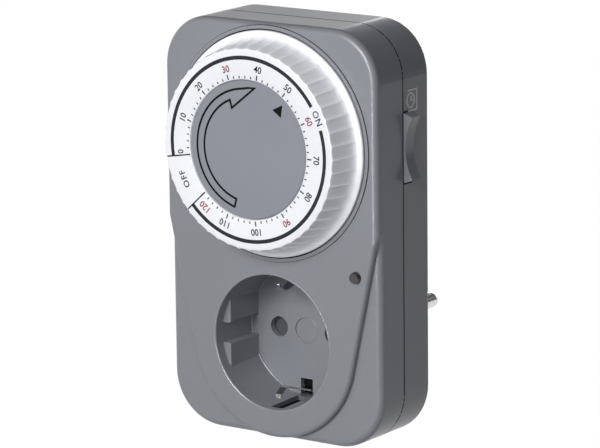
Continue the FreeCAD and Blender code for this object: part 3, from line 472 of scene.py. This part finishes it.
# Each strip is a painted highlight along one ridge.
ridges = [strip(*ridge_edges, RIDGE_THICKNESS, on_ridge(n)) for n in range(FLUTES)]
make_piece("grip_ridge_highlights", ridges, "ridge highlight white", "dial", smooth=False)
print("ridges:", len(ridges))

# %% [markdown]
# ## The printing on the dial
# The scale runs clockwise from the zero line: 120 minutes over 327 degrees. Ticks stand close to the
# grey centre, numbers stand outside them with their tops outwards, and a heavy arc marks the time
# that the socket is on. Ink is a thin slab on the face, so it also exists in the mesh.

# %% Ticks, arc and sector lines
ZERO_ANGLE, MINUTE, FULL_TIME = -9.4, 2.725, 120
INK, INK_GAP = 0.03, 0.005
ink_on_dial = on_dial_face(DIAL_FACE_Y - INK_GAP)


def spoke(inner, outer, width, degrees, place=ink_on_dial):
    """A straight radial dash: two edge lines beside a radius, half the width away."""
    ends = clock(np.array([inner, outer]), np.array([degrees, degrees]))
    along = (ends[1] - ends[0]) / (outer - inner)
    side = np.array([-along[1], along[0]]) * width / 2
    return strip(ends + side, ends - side, INK, place)


def arc(inner, outer, start, end, place=ink_on_dial):
    """A ring segment between two radii, with a point about every two degrees."""
    sweep = np.linspace(start, end, max(3, int(abs(end - start) / 2)))
    return strip(clock(inner, sweep), clock(outer, sweep), INK, place)


TICK_START, SHORT_TICK, LONG_TICK = 20.4, (21.1, 0.32), (21.85, 0.36)
ticks = [spoke(TICK_START, *(LONG_TICK if m % 10 == 0 else SHORT_TICK), ZERO_ANGLE + MINUTE * m)
         for m in range(2, FULL_TIME, 2)]
make_piece("minute_ticks", ticks, "black ink and painted shade", "dial", smooth=False)
ARC_BAND, ON_START, ON_END, LAST_ANGLE = (25.7, 26.8), 146.8, 162.1, ZERO_ANGLE + MINUTE * FULL_TIME
arcs = [arc(*ARC_BAND, start, end) for start, end in ((ZERO_ANGLE, ON_START), (ON_END, LAST_ANGLE))]
make_piece("on_time_arc", arcs, "arc ink and painted shade", "dial", smooth=False)
SECTOR_LINE = (20.3, 28.5, 0.4)
lines = [spoke(*SECTOR_LINE, angle) for angle in (ZERO_ANGLE, LAST_ANGLE)]
make_piece("sector_lines", lines, "arc ink and painted shade", "dial", smooth=False)
print("ticks:", len(ticks))

# %% [markdown]
# Numbers are set as text, turned into a mesh, and then carried to their place by a turn and a shift
# that is baked into the points. The plain built-in face is narrowed a little, as small scale
# figures usually are.

# %% Numbers and words
CAPITAL_SHARE = 0.729  # height of a capital in the built-in face, as a share of the type size


def letters(text, height, degrees, distance, narrow=0.95, spacing=1.0, boldness=0.016):
    """Text as closed thin letters: capital height in mm, tops outwards, centred at an angle and a radius."""
    curve = bpy.data.curves.new("letters", "FONT")
    curve.body, curve.size = text, height / CAPITAL_SHARE * MM
    curve.align_x, curve.align_y = "CENTER", "CENTER"
    curve.extrude, curve.resolution_u, curve.space_character = INK / 2 * MM, 3, spacing
    curve.offset = boldness * height * MM
    holder = bpy.data.objects.new("letters", curve)
    bpy.context.scene.collection.objects.link(holder)
    mesh = bpy.data.meshes.new_from_object(holder.evaluated_get(bpy.context.evaluated_depsgraph_get()))
    bpy.data.objects.remove(holder)
    place = clock(distance, degrees)
    outward = Vector((place[0], 0, place[1])).normalized()
    rightward = Vector((outward.z, 0, -outward.x))
    turn = Matrix((rightward * narrow, outward, Vector((0, -1, 0)))).transposed().to_4x4()
    centre = Vector((DIAL_X + place[0], DIAL_FACE_Y - INK_GAP - INK / 2, DIAL_Z + place[1])) * MM
    mesh.transform(Matrix.Translation(centre) @ turn)
    return mesh


def joined(name, meshes, finish, body):
    """One piece from several meshes, by stacking their points and shifting their face numbers."""
    points, faces, offset = [], [], 0
    for mesh in meshes:
        flat = np.zeros(len(mesh.vertices) * 3)
        mesh.vertices.foreach_get("co", flat)
        points.append(flat.reshape(-1, 3))
        faces += [[v + offset for v in p.vertices] for p in mesh.polygons]
        offset += len(mesh.vertices)
        bpy.data.meshes.remove(mesh)
    whole = bpy.data.meshes.new(name)
    whole.from_pydata(np.concatenate(points).tolist(), [], faces)
    piece_of(whole, finish, body)


NUMBER_HEIGHT, NUMBER_RADIUS = 2.0, 23.4
# The first and the last number stand just inside the end lines of the scale, at angles of their own.
EDGE_NUMBERS = {0: 353.2, FULL_TIME: 309.8}
numbers = {m: letters(str(m), NUMBER_HEIGHT, EDGE_NUMBERS.get(m, ZERO_ANGLE + MINUTE * m), NUMBER_RADIUS)
           for m in range(0, FULL_TIME + 1, 10)}
HALF_HOURS = [30, 60, 90, 120]
joined("half_hour_numbers", [numbers[m] for m in HALF_HOURS], "red ink", "dial")
joined("minute_numbers", [mesh for m, mesh in numbers.items() if m not in HALF_HOURS], "black ink and painted shade", "dial")
words = [letters("ON", NUMBER_HEIGHT, 154.6, 26.4, narrow=1.0, spacing=1.1),
         letters("OFF", NUMBER_HEIGHT, 334.3, 24.45, narrow=1.0, spacing=1.15)]
joined("on_and_off", words, "arc ink and painted shade", "dial")
print("numbers:", len(numbers))

# %% [markdown]
# ## Pointer and arrow on the fixed centre
# A solid triangle marks the minute, and an outlined arrow shows the way to turn. The outline is a
# ribbon: the closed path is shifted half a line's width to each side, with mitred corners.

# %% Pointer and arrow
ink_on_cap = on_dial_face(CAP_FACE_Y - INK_GAP)


def ribbon(path, width, place, closed=True):
    """A line of even width along a path: each point moves along the mean normal, longer at a corner."""
    before, after = np.roll(path, 1, 0), np.roll(path, -1, 0)
    if not closed:
        before[0], after[-1] = 2 * path[0] - path[1], 2 * path[-1] - path[-2]
    first, second = path - before, after - path
    first = first / np.linalg.norm(first, axis=1, keepdims=True)
    second = second / np.linalg.norm(second, axis=1, keepdims=True)
    normal = np.stack([-(first + second)[:, 1], (first + second)[:, 0]], 1)
    normal /= np.linalg.norm(normal, axis=1, keepdims=True)
    square = np.stack([-first[:, 1], first[:, 0]], 1)
    shift = normal * (width / 2 / np.clip((normal * square).sum(1, keepdims=True), 0.35, 1))
    return strip(path + shift, path - shift, INK, place, closed)


ARROW_OUTER, ARROW_INNER, ARROW_TAIL, ARROW_LINE = 17.45, 15.0, -74.2, 0.62
outer_arc = clock(ARROW_OUTER, np.linspace(ARROW_TAIL, 84, 60))
inner_arc = clock(ARROW_INNER, np.linspace(67.1, ARROW_TAIL, 54))
tip, barb = clock(18.0, 98.4), clock(12.67, 65.6)
arrow_path = np.concatenate([outer_arc, [clock(17.75, 91.5), tip, barb], inner_arc])
arrow = ribbon(arrow_path, ARROW_LINE, ink_on_cap)
make_piece("turn_arrow", [arrow], "black ink and painted shade", "housing", smooth=False)
point, left_foot, right_foot = clock(18.5, 131.1), clock(15.1, 125.2), clock(15.5, 138.3)
# The triangle is a strip between two lines that almost meet at its point.
triangle = strip(np.array([point, left_foot]), np.array([point + [0.01, 0.0], right_foot]), INK, ink_on_cap)
make_piece("pointer", [triangle], "black ink and painted shade", "housing", smooth=False)
print("arrow points:", len(arrow_path))

# %% [markdown]
# ## The symbol beside the rocker
# A clock face in an open square marks the timed position. It is drawn on the side wall with the
# same ribbon, only the place function differs: u runs towards the back and v runs up.

# %% Clock symbol
SYMBOL_Y, SYMBOL_Z, SYMBOL_LINE, SYMBOL_GAP = FRONT_Y + 17.55, 71.35, 0.48, 0.004


def on_side_wall(u, v, w):
    """Place on the right wall: u to the back and v up from the symbol's middle, w out of the wall."""
    return np.stack([SIDE_X + SYMBOL_GAP + w, SYMBOL_Y + u, SYMBOL_Z + v], 1)


turns = np.linspace(0, 2 * math.pi, 28, endpoint=False)
circle = np.stack([1.9 * np.cos(turns), 2.05 * np.sin(turns)], 1)
square = np.array([(-1.3, 2.85), (3.2, 2.85), (3.2, -2.95), (-1.3, -2.95)])
hands = np.array([(0.2, 1.3), (0.2, 0.0), (1.5, 0.0)])
symbol = [ribbon(circle, SYMBOL_LINE, on_side_wall)]
symbol += [ribbon(path, SYMBOL_LINE, on_side_wall, closed=False) for path in (square, hands)]
make_piece("clock_symbol", symbol, "pale ink", "housing", smooth=False)
print("symbol strokes:", len(symbol))

# %% [markdown]
# ## The joint line and the lines round the dial
# The two shells meet in a fine dark line all round: a strip of painted shade for the hairline groove
# between them. Its path is the housing's own outline, a rectangle with round corners: each corner is
# an arc about a centre one radius inside. Thin black rings, each a small circle carried round the
# dial's axis, mark the edges of the dial's raised ring with painted shade for the narrow gaps there.

# %% Joint line, painted shade in the groove between the shells
JOINT_FRONT, JOINT_WIDTH, JOINT_PROUD, JOINT_SUNK = FRONT_Y + 13.35, 0.5, 0.02, 0.12
TOP_CORNER, BOTTOM_CORNER = 15.0, 15.5


def rounded_outline(inset, steps=14):
    """Points (x, z): centre + (r - inset) (cos t, sin t), t turning a quarter at each of four corners."""
    top, bottom = rear_high[2] - TOP_CORNER, rear_low[2] + BOTTOM_CORNER
    upper, lower = SIDE_X - TOP_CORNER, SIDE_X - BOTTOM_CORNER
    centres = np.array([(upper, top), (-upper, top), (-lower, bottom), (lower, bottom)])
    radii = np.array([TOP_CORNER, TOP_CORNER, BOTTOM_CORNER, BOTTOM_CORNER]) - inset
    turns = np.linspace(0, math.pi / 2, steps) + np.arange(4)[:, None] * math.pi / 2
    arcs = radii[:, None, None] * np.stack([np.cos(turns), np.sin(turns)], -1)
    return (centres[:, None, :] + arcs).reshape(-1, 2)


def at_joint(u, v, w):
    """Place at the joint: u to the right and v up from the socket's axis, w towards the back."""
    return np.stack([u, JOINT_FRONT + w, v], 1)


outline, inside = rounded_outline(-JOINT_PROUD), rounded_outline(JOINT_SUNK)
joint = strip(outline, inside, JOINT_WIDTH, at_joint, closed=True)
# The joint line is a dark strip of painted shade for the groove where the shells meet.
make_piece("joint_shade_line", [joint], "arc ink and painted shade", "housing", smooth=False)
print("joint line points:", len(joint[0]))

# %% Lines of painted shade round the dial
def bead(radius, depth, tube, x=0.0, z=0.0, start=0, end=360, steps=96, around=10):
    """A small circle of radius tube carried round (x, z); short of 360 degrees, an arc with closed ends."""
    whole = end - start == 360
    turns = np.radians(np.linspace(start, end, steps, endpoint=not whole))[:, None]
    cross = np.linspace(0, 2 * math.pi, around, endpoint=False)
    reach = radius + tube * np.cos(cross)[None, :]
    level = np.broadcast_to(FRONT_Y + depth + tube * np.sin(cross), (steps, around))
    points = np.stack([x + reach * np.cos(turns), level, z + reach * np.sin(turns)], -1).reshape(-1, 3)
    quads = grid_quads(steps, around, whole, True)
    if not whole:
        # Each end is closed by a ladder of quads across the small circle.
        a = np.arange(around // 2 - 1)
        cap = np.stack([a, a + 1, around - 2 - a, around - 1 - a], 1)
        quads = np.concatenate([quads, cap[:, ::-1], cap + (steps - 1) * around])
    return points, quads


# Both rings are painted shade for the narrow gaps at the edges of the dial's raised ring.
outer_line = bead(FLANGE_RADIUS + 1.47, -0.02, 0.09, DIAL_X, DIAL_Z)
inner_line = bead(FLANGE_RADIUS + 0.3, 0.15, 0.2, DIAL_X, DIAL_Z)
make_piece("dial_ring_shade_lines", [outer_line, inner_line], "black ink and painted shade", "housing")
print("ring line points:", len(outer_line[0]))

# %% [markdown]
# ## Beads and shadows in the socket
# Polished beads at the cup's lip and at the edge of its floor catch the light as thin lines. Behind
# the windows of the earth clips the cup is closed by black strips: painted shade for the dark that
# the windows show, and no light comes through.

# %% Beads in the socket
LIP_BEAD, FLOOR_BEAD, DISC_BEAD, CUP_DEPTH = 20.22, 19.24, 3.85, 17.5
beads = [bead(LIP_BEAD, 0.26, 0.3, steps=160)]
beads += [bead(FLOOR_BEAD, CUP_DEPTH - 0.1, 0.22, start=start, end=start + 160) for start in (100, -80)]
beads += [bead(DISC_BEAD, CUP_DEPTH + 0.02, 0.1)]
make_piece("cup_beads", beads, "polished grey", "housing")
print("beads:", len(beads))

# %% Painted shade behind the clip windows
SHADE_HALF_WIDTH = 2.05
WALL_SHADE, FLOOR_SHADE = ((2.3, 15.9), (20.75, 21.25)), ((19.0, 19.4), (14.5, 17.1))


def slab(low, high):
    """An axis-aligned closed slab between two corners, as eight points and six quads."""
    corners = np.stack(np.meshgrid(*zip(low, high), indexing="ij"), -1).reshape(-1, 3)
    quads = [[0, 1, 3, 2], [4, 6, 7, 5], [0, 4, 5, 1], [2, 3, 7, 6], [0, 2, 6, 4], [1, 5, 7, 3]]
    return corners, np.array(quads)


def shade(side, depths, heights):
    """A black strip of painted shade across a window, above (side 1) or below (side -1) the socket's axis.
    """
    near, far = sorted(side * height for height in heights)
    return slab((-SHADE_HALF_WIDTH, FRONT_Y + depths[0], near), (SHADE_HALF_WIDTH, FRONT_Y + depths[1], far))


# Black strips of painted shade fill the clip windows.
shades = [shade(side, *place) for place in (WALL_SHADE, FLOOR_SHADE) for side in (-1, 1)]
make_piece("slot_shades", shades, "black ink and painted shade", "housing", smooth=False)
print("shades:", len(shades))

# %% [markdown]
# ## Floor, world and lamps
# The floor is white where the camera sees it and still takes a soft shadow. One large lamp ahead of
# the object and above it lights the face, and weaker ones light the right side and the back. A
# narrow one close by shows only in glossy surfaces: it draws the line of light along the rounded
# front edge. Two dark cards, which the camera doesn't see, keep light off the side and the top.

# %% Floor
FLOOR_Z, FLOOR_REACH = SOLID_BOX[0][2] - 0.05 * MM, 6.0
corners = [(x * FLOOR_REACH, y * FLOOR_REACH, FLOOR_Z) for x, y in ((-1, -1), (1, -1), (1, 1), (-1, 1))]
floor_mesh = bpy.data.meshes.new("floor")
floor_mesh.from_pydata(corners, [], [(0, 1, 2, 3)])
floor = bpy.data.objects.new("floor", floor_mesh)
bpy.context.scene.collection.objects.link(floor)


def white_rays(tree):
    """1 for camera, glossy and glass rays, which see plain white; 0 for the rays that carry light."""
    path = add(tree, "ShaderNodeLightPath").outputs
    seen = maths(tree, "ADD", maths(tree, "ADD", path["Is Camera Ray"], path["Is Glossy Ray"]),
                 path["Is Transmission Ray"])
    return maths(tree, "MINIMUM", seen, 1.0)


def floor_material():
    """Matt floor, mixed with plain white for the rays that see it; from below it is clear."""
    material = bpy.data.materials.new("pale floor")
    material.use_nodes = True
    tree = material.node_tree
    shader = tree.nodes["Principled BSDF"]
    place = add(tree, "ShaderNodeTexCoord").outputs["Object"]
    noise = add(tree, "ShaderNodeTexNoise", {"Vector": place, "Scale": 8.0})
    pale = add(tree, "ShaderNodeMapRange", {0: noise.outputs["Fac"], 3: 0.24, 4: 0.28})
    tree.links.new(pale.outputs[0], shader.inputs["Base Color"])
    shader.inputs["Roughness"].default_value = 0.9
    white = add(tree, "ShaderNodeEmission", {"Color": (1, 1, 1, 1), "Strength": 1.04})
    share = maths(tree, "MULTIPLY", white_rays(tree), 0.97)
    mix = add(tree, "ShaderNodeMixShader", {0: share, 1: shader.outputs[0], 2: white.outputs[0]})
    clear = add(tree, "ShaderNodeBsdfTransparent")
    under = add(tree, "ShaderNodeNewGeometry").outputs["Backfacing"]
    sided = add(tree, "ShaderNodeMixShader", {0: under, 1: mix.outputs[0], 2: clear.outputs[0]})
    tree.links.new(sided.outputs[0], tree.nodes["Material Output"].inputs["Surface"])
    return material


floor.data.materials.append(floor_material())
print("floor at", round(FLOOR_Z / MM, 2), "mm")

# %% World and lamps
def studio_world(strength):
    """White for camera, glossy and glass rays; a dimmer even light for everything else."""
    world = bpy.data.worlds.new("studio")
    world.use_nodes = True
    tree = world.node_tree
    tree.nodes.clear()
    level = add(tree, "ShaderNodeMapRange", {0: white_rays(tree), 3: strength, 4: 1.0})
    background = add(tree, "ShaderNodeBackground", {"Color": (1, 1, 1, 1), "Strength": level.outputs[0]})
    out = add(tree, "ShaderNodeOutputWorld")
    tree.links.new(background.outputs[0], out.inputs["Surface"])
    bpy.context.scene.world = world


def lamp(name, direction, distance, size, power, height=50, gloss_only=False):
    """A rectangular lamp that faces a point height mm up the object; one kind shows only in gloss."""
    light = bpy.data.lights.new(name, "AREA")
    light.shape, light.size, light.size_y, light.energy = "RECTANGLE", size[0], size[1], power
    holder = bpy.data.objects.new(name, light)
    bpy.context.scene.collection.objects.link(holder)
    way = Vector(direction).normalized()
    holder.location = Vector((0, FRONT_Y, height)) * MM + way * distance
    holder.rotation_euler = way.to_track_quat("Z", "Y").to_euler()
    holder.visible_camera, holder.visible_diffuse = False, not gloss_only


def flag(name, corners):
    """A dark matt card, unseen by the camera: it keeps light off a wall and gives metal its dark bands."""
    mesh = bpy.data.meshes.new(name)
    mesh.from_pydata(corners, [], [(0, 1, 2, 3)])
    card = bpy.data.objects.new(name, mesh)
    bpy.context.scene.collection.objects.link(card)
    card.data.materials.append(FINISHES["magnet"])
    card.visible_camera = False


studio_world(0.3)
lamp("key", (0.0, -1.0, 0.42), 0.8, (0.45, 0.3), 4.7)
lamp("side", (1.0, -0.75, 0.6), 1.0, (0.3, 0.5), 0.35)
lamp("back", (-0.3, 1.0, 0.1), 1.0, (0.5, 0.5), 3.0)
lamp("edge", (0.22, -1.0, 0.12), 0.25, (0.05, 0.3), 0.8, gloss_only=True)
flag("side_flag", [(0.45, y, z) for y, z in ((-0.3, -0.02), (0.9, -0.02), (0.9, 0.7), (-0.3, 0.7))])
flag("top_flag", [(x, y, 0.4) for x, y in ((-0.6, -0.25), (0.6, -0.25), (0.6, 0.9), (-0.6, 0.9))])
